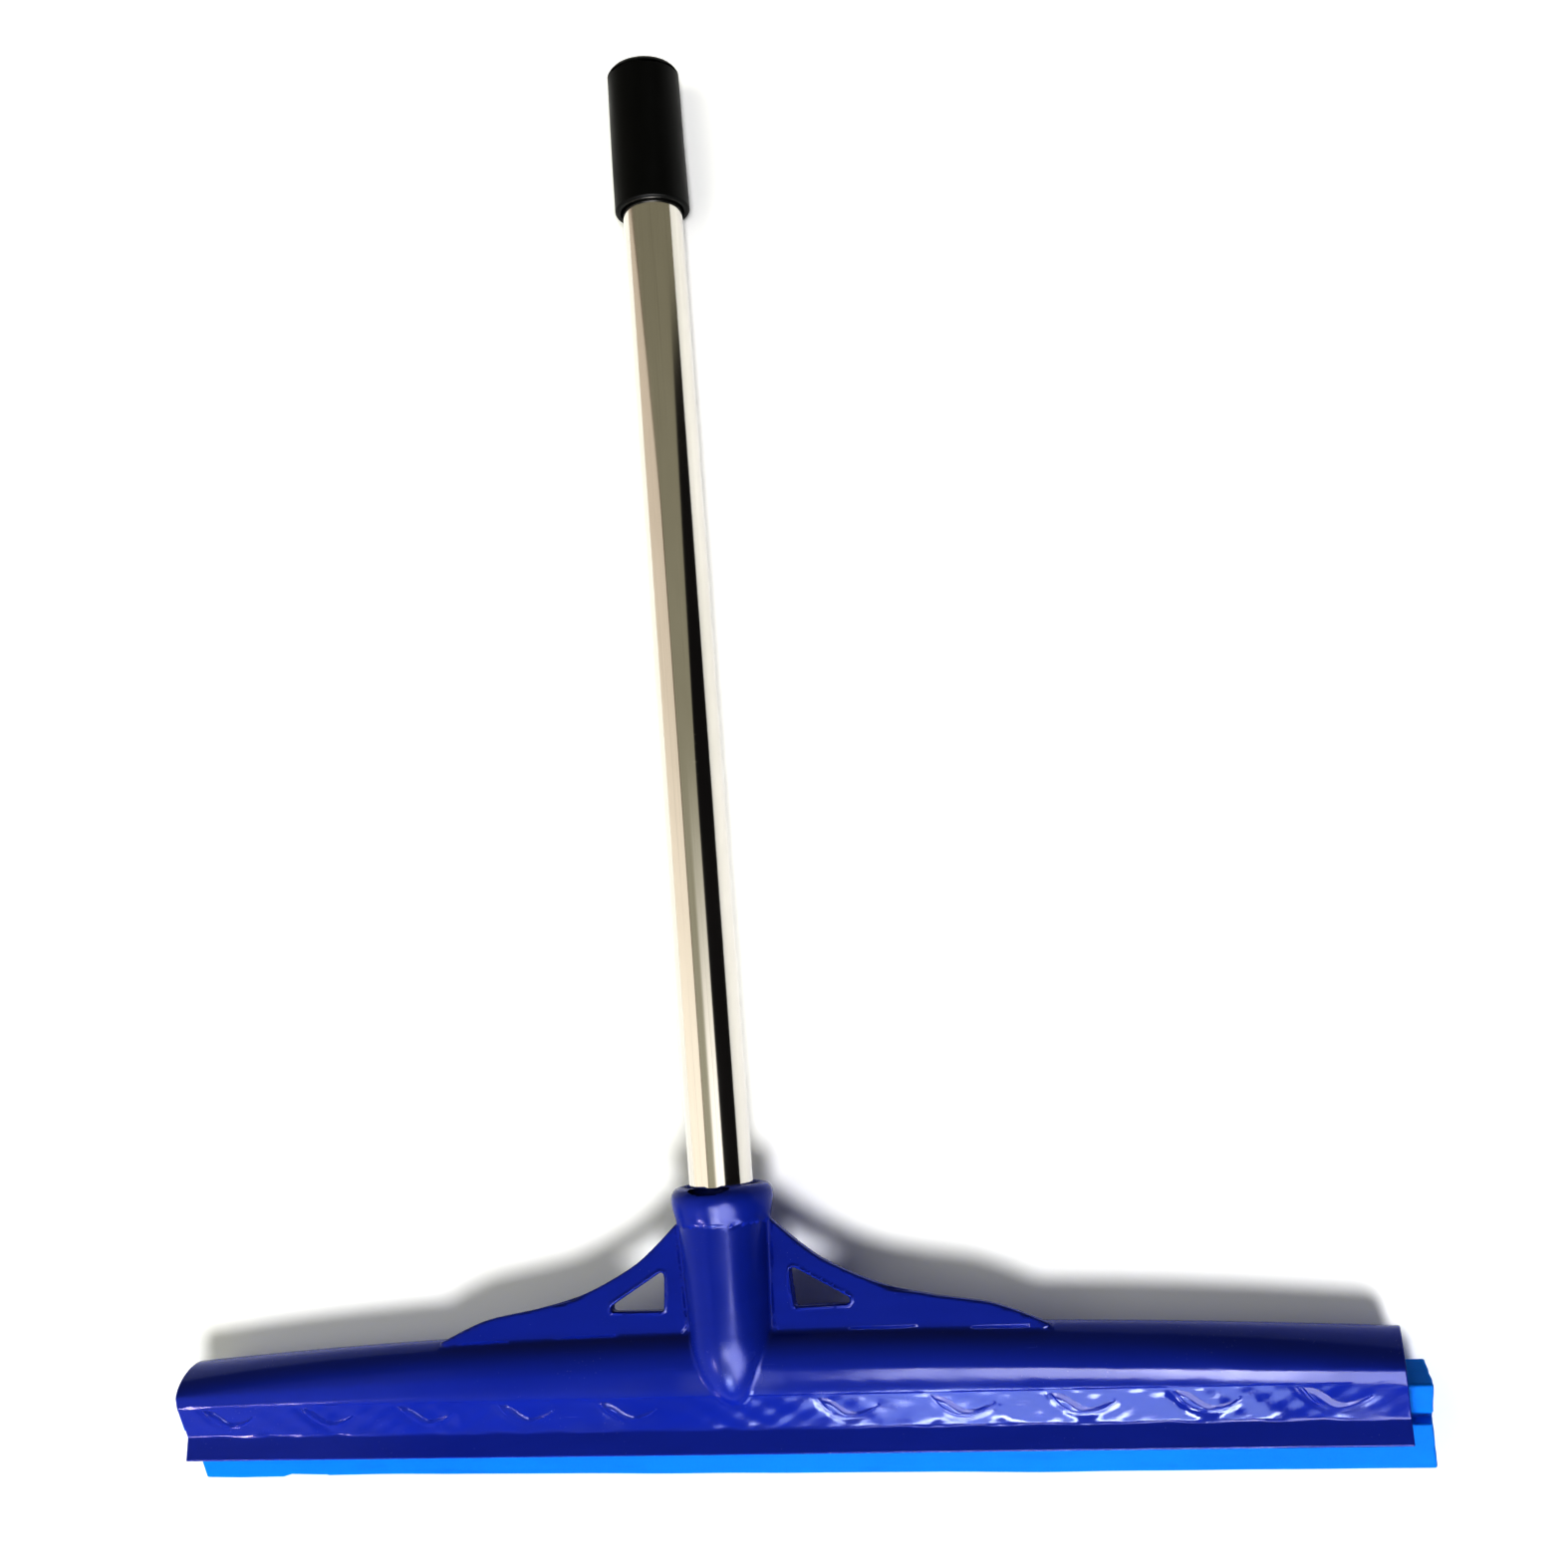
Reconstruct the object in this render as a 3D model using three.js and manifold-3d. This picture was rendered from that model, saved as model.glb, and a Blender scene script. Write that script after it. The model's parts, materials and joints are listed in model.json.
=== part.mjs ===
// Floor squeegee, lying on its back: a moulded head with a leaning handle socket, a double-lipped
// foam insert that slides into the head, and a screw-in tube handle with a ferrule and a grip cap.
//
// Handle frame: origin where the handle's axis crosses the head's mid-plane, +Y along the handle
// towards the grip, +Z out of the front side, +X along the head. The head frame is turned about X
// by the handle's lean and has its origin on the mid-plane, level with the crease above the skirt:
// +Y runs from the blade to the ridge and +Z out of the front wall. Everything is in millimetres.

import * as THREE from 'three';
import { mergeVertices } from 'three/addons/utils/BufferGeometryUtils.js';
import Module from 'manifold-3d';

const wasm = await Module();
wasm.setup();

// ---- Driving dimensions ----

const LEAN = THREE.MathUtils.degToRad(25);
const GAP = 0.3;

const HOOD_LENGTH = 452;
const HOOD_HALF_WIDTH = 12;
const WALL = 2.5;
const CREST_HEIGHT = 14.3;
const CREST_HALF_WIDTH = 13;
const RIDGE_HEIGHT_CENTRE = 32;
const RIDGE_HEIGHT_END = 22;
const RIDGE_CURVE_POWER = 2.43;
const SKIRT_DROP = 7.1;
const SKIRT_FLARE = 5.1;
const SKIRT_THICKNESS = 2;
const RIB_PITCH = 40.9;
const RIB_THICKNESS = 2.4;

const BEAD_HALF_WIDTH = 9;
const BEAD_TOP = 10;
const BEAD_BOTTOM = -1.2;
const GROOVE_HALF_WIDTH = 5;
const GROOVE_BOTTOM = -5.1;
const LIP_HALF_WIDTH = 9;
const LIP_END = -22.6;
const SLIT_TOP = -8;
const SLIT_HALF_WIDTH = 1;
const INSERT_LEFT = -229.5;
const INSERT_RIGHT = 234.2;
const INSERT_CORNER = 1.2;

const AXIS_HEIGHT = 31.6;
const NOSE_TIP = -25.1;
const NOSE_START = 1.2;
const NOSE_POWER = 0.6;
const SOCKET_RADIUS_LOW = 14.9;
const SOCKET_RADIUS_HIGH = 16.2;
const COLLAR_END = 51.6;
const COLLAR_BORE_RADIUS = 13.2;
const BORE_MOUTH_CHAMFER = 0.3;
const SOCKET_FLOOR = -8;

const THREAD_PITCH = 5;
const THREAD_TURNS = 6;
const THREAD_START = -6;
const FEMALE_THREAD_START = -5.5;
const THREAD_SEAT = 24.5;
const THREAD_DEPTH = 1.1;
const THREAD_FLANK = 0.15 * THREAD_PITCH;
const THREAD_CREST_WIDTH = 0.3 * THREAD_PITCH;
const FEMALE_CREST_RADIUS = 10.9;
const MALE_CREST_RADIUS = 10.5;

const WEB_THICKNESS = 3.6;
const WEB_FOOT = -3;
const WEB_REACH = 114;
const WEB_TOP = 40.2;
const WINDOW_RIM_WIDTH = 1.1;
const WINDOW_RIM_PROUD = 0.5;
const WINDOW_CORNER = 1.3;

const TUBE_RADIUS = 11.5;
const TUBE_WALL = 0.8;
const TUBE_TOP = 476.5;
const FLANGE_THICKNESS = 2.7;
const PLUG_LENGTH = 34;
const FERRULE_CORE_RADIUS = 6.5;

const GRIP_START = 421.2;
const GRIP_END = 480;
const GRIP_RADIUS_START = 14.5;
const GRIP_RADIUS_END = 13.9;
const GRIP_EDGE_RADIUS = 3.5;
const GRIP_MOUTH_RADIUS = 12.3;

const ROUND_SEGMENTS = 40;
const HOOD_STEPS = 14;
const ARC_POINTS = 6;

// ---- Colours ----

const HEAD_BLUE = new THREE.MeshStandardMaterial({ color: 0x14309f, roughness: 0.28, metalness: 0 });
const FOAM_BLUE = new THREE.MeshStandardMaterial({ color: 0x0a86f2, roughness: 0.8, metalness: 0 });
const STEEL = new THREE.MeshStandardMaterial({ color: 0xc9c8c4, roughness: 0.18, metalness: 1 });
const BLACK_PLASTIC = new THREE.MeshStandardMaterial({ color: 0x131315, roughness: 0.35, metalness: 0 });
const GREY_PLASTIC = new THREE.MeshStandardMaterial({ color: 0x2a2a2c, roughness: 0.5, metalness: 0 });

// ---- Solids ----

function toSolid(geometry) {
  const bare = geometry.index ? geometry.toNonIndexed() : geometry.clone();
  bare.deleteAttribute('normal');
  bare.deleteAttribute('uv');
  const merged = mergeVertices(bare, 1e-4);
  const vertProperties = new Float32Array(merged.attributes.position.array);
  const triVerts = new Uint32Array(merged.index.array);
  return new wasm.Manifold(new wasm.Mesh({ numProp: 3, vertProperties, triVerts }));
}

function toGeometry(solid) {
  const mesh = solid.getMesh();
  const geometry = new THREE.BufferGeometry();
  geometry.setAttribute('position', new THREE.BufferAttribute(new Float32Array(mesh.vertProperties), 3));
  geometry.setIndex(new THREE.BufferAttribute(new Uint32Array(mesh.triVerts), 1));
  geometry.computeVertexNormals();
  return geometry;
}

function join(solids) {
  return solids.reduce((whole, solid) => whole.add(solid));
}

function outline(points) {
  return new THREE.Shape(points.map(([x, y]) => new THREE.Vector2(x, y)));
}

// A section drawn as (front, up) in the head frame, run along the head from one x to another.
function alongHead(shape, from, to, steps = 1) {
  const geometry = new THREE.ExtrudeGeometry(shape, { depth: to - from, steps, bevelEnabled: false });
  geometry.rotateY(Math.PI / 2);
  return geometry.translate(from, 0, 0);
}

// A plate drawn in the handle frame's XY plane, centred on that plane.
function plate(shape, thickness) {
  const geometry = new THREE.ExtrudeGeometry(shape, {
    depth: thickness,
    bevelEnabled: false,
    curveSegments: 8,
  });
  return geometry.translate(0, 0, -thickness / 2);
}

// A profile of [radius, along] points turned about the handle's axis.
function turned(points) {
  const profile = points.map(([radius, along]) => new THREE.Vector2(radius, along));
  return new THREE.LatheGeometry(profile, ROUND_SEGMENTS);
}

// A ring-shaped or tubular piece: the profile closes on itself away from the axis.
function turnedRing(points) {
  return turned([...points, points[0]]);
}

// ---- Head: hood, skirt and ribs, in the head frame ----

function ridgeHeight(x) {
  const fraction = Math.abs(x) / (HOOD_LENGTH / 2);
  const fall = RIDGE_HEIGHT_CENTRE - RIDGE_HEIGHT_END;
  return RIDGE_HEIGHT_CENTRE - fall * fraction ** RIDGE_CURVE_POWER;
}

function domeScale(x) {
  return (ridgeHeight(x) - CREST_HEIGHT) / (RIDGE_HEIGHT_END - CREST_HEIGHT);
}

// Half of an elliptical dome from its right foot over the top to its left foot.
function domeArc(halfWidth, rise) {
  const points = [];
  for (let i = 0; i <= 2 * ARC_POINTS; i += 1) {
    const angle = (Math.PI * i) / (2 * ARC_POINTS);
    points.push([halfWidth * Math.cos(angle), CREST_HEIGHT + rise * Math.sin(angle)]);
  }
  return points;
}

function mirrored(points) {
  return points.map(([across, up]) => [-across, up]).reverse();
}

function hoodSection() {
  const innerHalfWidth = HOOD_HALF_WIDTH - WALL;
  const ledgeHalfWidth = GROOVE_HALF_WIDTH + GAP;
  const ledgeTop = BEAD_BOTTOM - GAP;
  const ledgeBottom = GROOVE_BOTTOM + GAP;
  const flareLength = Math.hypot(SKIRT_FLARE, SKIRT_DROP);
  const inwards = (SKIRT_THICKNESS * SKIRT_DROP) / flareLength;
  const downwards = (SKIRT_THICKNESS * SKIRT_FLARE) / flareLength;
  const skirtOuter = [HOOD_HALF_WIDTH + SKIRT_FLARE, -SKIRT_DROP];
  const skirtInner = [skirtOuter[0] - inwards, skirtOuter[1] - downwards];
  const climb = ledgeBottom - skirtInner[1];
  const skirtRoot = [skirtInner[0] - (climb * SKIRT_FLARE) / SKIRT_DROP, ledgeBottom];
  const outerSide = [skirtOuter, [HOOD_HALF_WIDTH, 0]];
  const innerSide = [[ledgeHalfWidth, ledgeTop], [ledgeHalfWidth, ledgeBottom], skirtRoot, skirtInner];
  const outerDome = domeArc(CREST_HALF_WIDTH, RIDGE_HEIGHT_END - CREST_HEIGHT);
  const innerDome = domeArc(innerHalfWidth, RIDGE_HEIGHT_END - WALL - CREST_HEIGHT);
  return outline([
    ...outerSide,
    ...outerDome,
    ...mirrored(outerSide),
    ...mirrored([[innerHalfWidth, ledgeTop], ...innerSide]),
    ...innerDome.reverse(),
    [innerHalfWidth, ledgeTop],
    ...innerSide,
  ]);
}

// The dome's own curve is stretched upwards towards the middle of the head.
function raiseDome(geometry) {
  const position = geometry.attributes.position;
  for (let i = 0; i < position.count; i += 1) {
    const above = position.getY(i) - CREST_HEIGHT;
    if (above > 0) {
      position.setY(i, CREST_HEIGHT + above * domeScale(position.getX(i)));
    }
  }
  return geometry;
}

function hoodSolid() {
  const half = HOOD_LENGTH / 2;
  return toSolid(raiseDome(alongHead(hoodSection(), -half, half, HOOD_STEPS)));
}

// A thin cross wall under the dome, which holds the bead of the insert down.
function ribSolid(x) {
  const halfWidth = HOOD_HALF_WIDTH - WALL + 1;
  const rise = RIDGE_HEIGHT_END - WALL + 1 - CREST_HEIGHT;
  const foot = BEAD_TOP + GAP;
  const section = outline([[halfWidth, foot], ...domeArc(halfWidth, rise), [-halfWidth, foot]]);
  const rib = alongHead(section, x - RIB_THICKNESS / 2, x + RIB_THICKNESS / 2);
  return toSolid(raiseDome(rib));
}

// The way that the bead slides through, cut clear of the socket's nose.
function beadWaySolid() {
  const halfWidth = HOOD_HALF_WIDTH - WALL;
  const low = BEAD_BOTTOM - GAP;
  const high = BEAD_TOP + GAP;
  const section = outline([[halfWidth, low], [halfWidth, high], [-halfWidth, high], [-halfWidth, low]]);
  return toSolid(alongHead(section, -HOOD_LENGTH, HOOD_LENGTH));
}

// ---- Head: socket and gusset webs, in the handle frame ----

// Outside of the collar from its foot to the flat rim, as [radius, along].
const COLLAR_PROFILE = [
  [SOCKET_RADIUS_HIGH, 38.2],
  [16.8, 38.8],
  [17.5, 41.6],
  [18.3, 45],
  [18.5, 47],
  [18.2, 49],
  [17.2, 50.6],
  [15.6, COLLAR_END],
];

function socketSolid() {
  const nose = [];
  for (let i = 0; i <= ARC_POINTS; i += 1) {
    const fromTip = Math.sin((Math.PI / 2) * (i / ARC_POINTS));
    const share = (1 - (1 - fromTip) ** 2) ** NOSE_POWER;
    nose.push([SOCKET_RADIUS_LOW * share, NOSE_TIP + (NOSE_START - NOSE_TIP) * fromTip]);
  }
  return toSolid(turned([...nose, ...COLLAR_PROFILE, [0, COLLAR_END]]));
}

// Thread crests stand as plain rings, one for each turn.
function threadProfile(rootRadius, crestRadius, start) {
  const points = [];
  for (let turn = 0; turn < THREAD_TURNS; turn += 1) {
    const middle = start + (turn + 0.5) * THREAD_PITCH;
    const crest = THREAD_CREST_WIDTH / 2;
    points.push([rootRadius, middle - crest - THREAD_FLANK]);
    points.push([crestRadius, middle - crest]);
    points.push([crestRadius, middle + crest]);
    points.push([rootRadius, middle + crest + THREAD_FLANK]);
  }
  return points;
}

function socketBoreSolid() {
  const root = FEMALE_CREST_RADIUS + THREAD_DEPTH;
  const threads = threadProfile(root, FEMALE_CREST_RADIUS, FEMALE_THREAD_START);
  return toSolid(turned([
    [0, SOCKET_FLOOR],
    [root, SOCKET_FLOOR],
    ...threads.filter(([, along]) => along < THREAD_SEAT),
    [root, THREAD_SEAT],
    [COLLAR_BORE_RADIUS, THREAD_SEAT],
    [COLLAR_BORE_RADIUS, COLLAR_END - BORE_MOUTH_CHAMFER],
    [COLLAR_BORE_RADIUS + BORE_MOUTH_CHAMFER, COLLAR_END],
    [COLLAR_BORE_RADIUS + BORE_MOUTH_CHAMFER, COLLAR_END + 1],
    [0, COLLAR_END + 1],
  ]));
}

// Outline of the web on the +X side, as far as the socket's axis.
function webShape() {
  const edge = new THREE.SplineCurve([
    new THREE.Vector2(WEB_REACH, -0.6),
    new THREE.Vector2(102, 4.5),
    new THREE.Vector2(92, 7.6),
    new THREE.Vector2(74, 10.5),
    new THREE.Vector2(56, 14.8),
    new THREE.Vector2(38, 22.8),
    new THREE.Vector2(28, 29.6),
    new THREE.Vector2(16, WEB_TOP),
  ]);
  const points = edge.getPoints(24).map((point) => [point.x, point.y]);
  return outline([[0, WEB_FOOT], [WEB_REACH, WEB_FOOT], ...points, [0, WEB_TOP]]);
}

// A triangle with rounded corners: an arc about each corner's inner centre.
function roundedTriangle(corners, radius, grow) {
  const shape = new THREE.Shape();
  const centres = corners.map(([x, y], i) => {
    const [ax, ay] = corners[(i + 2) % 3];
    const [bx, by] = corners[(i + 1) % 3];
    const back = new THREE.Vector2(ax - x, ay - y).normalize();
    const ahead = new THREE.Vector2(bx - x, by - y).normalize();
    const halfAngle = Math.acos(back.dot(ahead)) / 2;
    const middle = back.clone().add(ahead).normalize().multiplyScalar(radius / Math.sin(halfAngle));
    return { x: x + middle.x, y: y + middle.y, back, ahead };
  });
  centres.forEach(({ x, y, back, ahead }) => {
    const from = Math.atan2(back.x, -back.y);
    const to = Math.atan2(-ahead.x, ahead.y);
    shape.absarc(x, y, radius + grow, from, to, false);
  });
  return shape;
}

// Corners of the window in the +X web, anticlockwise.
const WINDOW_CORNERS = [
  [24.4, 8.3],
  [48.2, 8.7],
  [23.4, 22.7],
];

function onBothSides(solid) {
  return [solid, solid.mirror([1, 0, 0])];
}

function headSolid() {
  const half = HOOD_LENGTH / 2;
  const ribs = [];
  for (let x = -5 * RIB_PITCH; x < half; x += RIB_PITCH) {
    ribs.push(ribSolid(x));
  }
  const toHandle = new THREE.Matrix4().makeRotationX(LEAN);
  toHandle.multiply(new THREE.Matrix4().makeTranslation(0, -AXIS_HEIGHT, 0));
  const inHandle = (solid) => toSolid(toGeometry(solid).applyMatrix4(toHandle));

  const web = toSolid(plate(webShape(), WEB_THICKNESS));
  const rimShape = roundedTriangle(WINDOW_CORNERS, WINDOW_CORNER, WINDOW_RIM_WIDTH);
  const rim = toSolid(plate(rimShape, WEB_THICKNESS + 2 * WINDOW_RIM_PROUD));
  const window = toSolid(plate(roundedTriangle(WINDOW_CORNERS, WINDOW_CORNER, 0), 4 * WEB_THICKNESS));

  const hood = inHandle(join([hoodSolid(), ...ribs]));
  const whole = join([hood, socketSolid(), ...onBothSides(web), ...onBothSides(rim)]);
  return whole
    .subtract(join(onBothSides(window)))
    .subtract(socketBoreSolid())
    .subtract(inHandle(beadWaySolid()));
}

// ---- Insert, in the head frame ----

function insertSection() {
  const corner = INSERT_CORNER;
  const side = [
    [BEAD_HALF_WIDTH - corner, BEAD_TOP],
    [BEAD_HALF_WIDTH, BEAD_TOP - corner],
    [BEAD_HALF_WIDTH, BEAD_BOTTOM],
    [GROOVE_HALF_WIDTH, BEAD_BOTTOM],
    [GROOVE_HALF_WIDTH, GROOVE_BOTTOM],
    [LIP_HALF_WIDTH, GROOVE_BOTTOM],
    [LIP_HALF_WIDTH, LIP_END],
    [SLIT_HALF_WIDTH, LIP_END],
    [SLIT_HALF_WIDTH * 0.6, SLIT_TOP - 0.6],
  ];
  return outline([...side, [0, SLIT_TOP], ...mirrored(side)]);
}

// ---- Handle pieces, in the handle frame ----

function ferruleGeometry() {
  const root = MALE_CREST_RADIUS - THREAD_DEPTH;
  const flangeStart = THREAD_SEAT + GAP;
  const flangeEnd = flangeStart + FLANGE_THICKNESS;
  const plugRadius = TUBE_RADIUS - TUBE_WALL - GAP;
  const plugEnd = flangeEnd + PLUG_LENGTH;
  return turned([
    [0, THREAD_START],
    [root - 1, THREAD_START],
    ...threadProfile(root, MALE_CREST_RADIUS, THREAD_START),
    [root, flangeStart],
    [TUBE_RADIUS, flangeStart],
    [TUBE_RADIUS, flangeEnd],
    [plugRadius, flangeEnd],
    [plugRadius, plugEnd - 1.5],
    [plugRadius - 1, plugEnd],
    [FERRULE_CORE_RADIUS, plugEnd],
    [FERRULE_CORE_RADIUS, THREAD_START + 8],
    [0, THREAD_START + 8],
  ]);
}

function tubeGeometry() {
  const start = THREAD_SEAT + GAP + FLANGE_THICKNESS + GAP;
  const inner = TUBE_RADIUS - TUBE_WALL;
  return turnedRing([
    [inner, start],
    [TUBE_RADIUS, start],
    [TUBE_RADIUS, TUBE_TOP],
    [inner, TUBE_TOP],
  ]);
}

function gripGeometry() {
  const bore = TUBE_RADIUS + GAP;
  const edge = [];
  for (let i = 0; i <= 6; i += 1) {
    const angle = (Math.PI / 12) * i;
    const radius = GRIP_RADIUS_END - GRIP_EDGE_RADIUS + GRIP_EDGE_RADIUS * Math.cos(angle);
    edge.push([radius, GRIP_END - GRIP_EDGE_RADIUS + GRIP_EDGE_RADIUS * Math.sin(angle)]);
  }
  return turned([
    [0, TUBE_TOP + GAP],
    [bore, TUBE_TOP + GAP],
    [bore, GRIP_START + 1.5],
    [GRIP_MOUTH_RADIUS, GRIP_START],
    [GRIP_RADIUS_START - 0.6, GRIP_START],
    [GRIP_RADIUS_START, GRIP_START + 0.9],
    ...edge,
    [0, GRIP_END],
  ]);
}

// ---- Assembly ----

function piece(name, geometry, material) {
  const mesh = new THREE.Mesh(geometry, material);
  mesh.name = name;
  return mesh;
}

const headFrame = new THREE.Group();
headFrame.rotation.x = LEAN;
headFrame.position.copy(new THREE.Vector3(0, -AXIS_HEIGHT, 0).applyEuler(headFrame.rotation));
headFrame.add(piece('foam_insert', alongHead(insertSection(), INSERT_LEFT, INSERT_RIGHT), FOAM_BLUE));

const handleFrame = new THREE.Group();
handleFrame.add(headFrame);
handleFrame.add(piece('head_moulding', toGeometry(headSolid()), HEAD_BLUE));
handleFrame.add(piece('threaded_ferrule', ferruleGeometry(), GREY_PLASTIC));
handleFrame.add(piece('handle_tube', tubeGeometry(), STEEL));
handleFrame.add(piece('handle_grip', gripGeometry(), BLACK_PLASTIC));

// The back edge of the skirt and the far end of the grip both touch the ground.
const skirtEdge = new THREE.Vector3(0, -SKIRT_DROP, -HOOD_HALF_WIDTH - SKIRT_FLARE);
skirtEdge.applyEuler(headFrame.rotation).add(headFrame.position);
const gripTouch = new THREE.Vector3(0, GRIP_END - GRIP_EDGE_RADIUS, -GRIP_RADIUS_END);
handleFrame.rotation.x = -Math.atan2(gripTouch.z - skirtEdge.z, gripTouch.y - skirtEdge.y);

// The origin is on the ground under the middle of the whole squeegee.
const squeegee = new THREE.Group();
squeegee.add(handleFrame);
squeegee.updateMatrixWorld(true);
const extent = new THREE.Box3().setFromObject(squeegee, true);
const middle = extent.getCenter(new THREE.Vector3());
handleFrame.position.set(-middle.x, -middle.y, -extent.min.z);

export default squeegee;
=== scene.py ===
"""Floor squeegee lying on its back: fine surfaces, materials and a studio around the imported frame.

The head moulding is described as a signed distance field in millimetres and turned into a mesh of quads
that follows the field exactly, so its fillets, reliefs and rims are real geometry. The handle's pieces are
turned profiles, and the foam insert is a swept section with the dents and cuts of a used one.
"""

import json
import math

import bpy
import numpy as np
from mathutils import Matrix, Vector


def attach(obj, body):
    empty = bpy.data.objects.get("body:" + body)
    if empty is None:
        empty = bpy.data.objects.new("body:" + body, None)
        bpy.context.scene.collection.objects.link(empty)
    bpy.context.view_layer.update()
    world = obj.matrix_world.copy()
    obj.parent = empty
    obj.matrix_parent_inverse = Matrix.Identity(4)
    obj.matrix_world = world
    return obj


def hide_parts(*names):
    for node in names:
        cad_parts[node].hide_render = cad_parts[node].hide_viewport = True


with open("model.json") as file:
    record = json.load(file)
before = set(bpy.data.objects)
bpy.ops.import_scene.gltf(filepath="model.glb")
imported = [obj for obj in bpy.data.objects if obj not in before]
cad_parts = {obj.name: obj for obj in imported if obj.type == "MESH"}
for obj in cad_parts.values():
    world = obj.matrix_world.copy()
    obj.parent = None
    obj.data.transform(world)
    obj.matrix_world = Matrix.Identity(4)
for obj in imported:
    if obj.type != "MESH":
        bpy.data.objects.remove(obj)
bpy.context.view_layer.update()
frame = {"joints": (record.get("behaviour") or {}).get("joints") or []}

MM = 0.001

# ---- Driving dimensions, in millimetres; all but the facet and the finest edges are the CAD model's ----
#
# The head's own frame has x along the head, up from the blade towards the ridge, and out to the front.

# The handle leans back from the head by this angle.
LEAN = math.radians(25)

# The hood: a straight wall up to the crest, then an elliptical arch whose ridge falls towards the ends.
HALF_LENGTH = 226.0
HALF_WIDTH = 12.0
WALL = 2.5
CREST = 14.3
CREST_HALF = 13.0
RIDGE_CENTRE = 32.0
RIDGE_END = 22.0
RIDGE_POWER = 2.43

# The flat facet along the crest, by its tilt and its width.
FACET_TURN = math.radians(15)
FACET_WIDTH = 4.5

# The flared skirt. It overlaps the wall above it by a little.
SKIRT_DROP = 7.1
SKIRT_FLARE = 5.1
SKIRT_THICKNESS = 2.0
SKIRT_OVERLAP = 1.5
SKIRT_CORNER = 0.45

# The ribs inside the hood and the crescents outside share one pitch, and are counted from the middle.
PITCH = 40.9
LAST = 5
RIB_HALF = 1.2
RIB_INSET = 1.0

# The channel that holds the insert: two ledges, and the way for its bead above them.
LEDGE_HALF = 5.3
LEDGE_TOP = -1.5
LEDGE_BOTTOM = -4.8
LEDGE_CORNER = 0.3
BEAD_WAY_HALF = 9.5
BEAD_WAY_TOP = 10.3

# The socket, along the handle's axis from the point where the joint sits.
AXIS_HEIGHT = 31.6
NOSE_TIP = -25.1
NOSE_START = 1.2
NOSE_POWER = 0.6
SOCKET_LOW = 14.9
SOCKET_HIGH = 16.2
COLLAR_START = 38.2
COLLAR_END = 51.6
MOUTH = 13.2
COLLAR_PROFILE = (
    (COLLAR_START, SOCKET_HIGH), (COLLAR_START + 0.5, 16.75), (41.6, 17.45), (44.8, 18.2), (47.0, 18.42),
    (49.0, 18.1), (50.5, 17.15), (51.3, 16.0), (COLLAR_END + 0.1, 15.2),
)
SOCKET_FLOOR = -8.0
THREAD_PITCH = 5.0
THREAD_SEAT = 24.5
THREAD_ROOT = 12.0
THREAD_CREST = 10.9

# The webs beside the socket, and the corners of their windows.
WEB_HALF = 1.8
WEB_FOOT = -3.0
WEB_REACH = 113.6
WEB_STEP = 0.5
WEB_EDGE = ((114, -0.6), (102, 4.5), (92, 7.6), (74, 10.5), (56, 14.8), (38, 22.8), (28, 29.6), (16, 40.2))
WINDOW = ((24.4, 8.3), (48.2, 8.7), (23.4, 22.7))
WINDOW_CORNER = 1.3
RIM_WIDTH = 1.0
RIM_PROUD = 0.38

# ---- The shared frame ----

turn_joint = next(j for j in frame["joints"] if j["name"] == "handle_turn")
along = Vector(turn_joint["axis"]).normalized()
across = Vector((1, 0, 0))
HANDLE_TO_ROW = Matrix.Translation(turn_joint["pos_m"])
HANDLE_TO_ROW @= Matrix((across, along, across.cross(along))).transposed().to_4x4()
HEAD_TO_ROW = HANDLE_TO_ROW @ Matrix.Rotation(LEAN, 4, "X")
HEAD_TO_ROW @= Matrix.Translation((0, -AXIS_HEIGHT * MM, 0))


def make_mesh(name, points, faces, to_row, normals=None):
    """A smooth mesh from points in millimetres in a local frame, placed in the row's frame."""
    mesh = bpy.data.meshes.new(name)
    mesh.from_pydata((np.asarray(points) * MM).tolist(), [], faces)
    mesh.polygons.foreach_set("use_smooth", np.ones(len(mesh.polygons), dtype=bool))
    if normals is not None:
        mesh.normals_split_custom_set_from_vertices(np.asarray(normals).tolist())
    mesh.transform(to_row)
    piece = bpy.data.objects.new(name, mesh)
    bpy.context.scene.collection.objects.link(piece)
    return piece


# ---- Distance fields ----

def soft_min(a, b, size):
    """The smaller of two distances, with a fillet of this size where they meet."""
    overlap = np.maximum(size - np.abs(a - b), 0) / size
    return np.minimum(a, b) - overlap * overlap * size / 4


def soft_max(a, b, size):
    """The larger of two distances, with a rounded edge of this size where they meet."""
    return -soft_min(-a, -b, size)


def rounded_box(a, b, half_a, half_b, corner):
    """A rectangle's distance, with round corners, about its own centre."""
    da = np.abs(a) - half_a + corner
    db = np.abs(b) - half_b + corner
    return np.minimum(np.maximum(da, db), 0) + np.hypot(np.maximum(da, 0), np.maximum(db, 0)) - corner


def ellipse(a, b, radius_a, radius_b):
    """Close to an ellipse's distance, and exact on the ellipse itself."""
    first = np.hypot(a / radius_a, b / radius_b)
    second = np.hypot(a / radius_a**2, b / radius_b**2)
    return first * (first - 1) / np.maximum(second, 1e-6)


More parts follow.
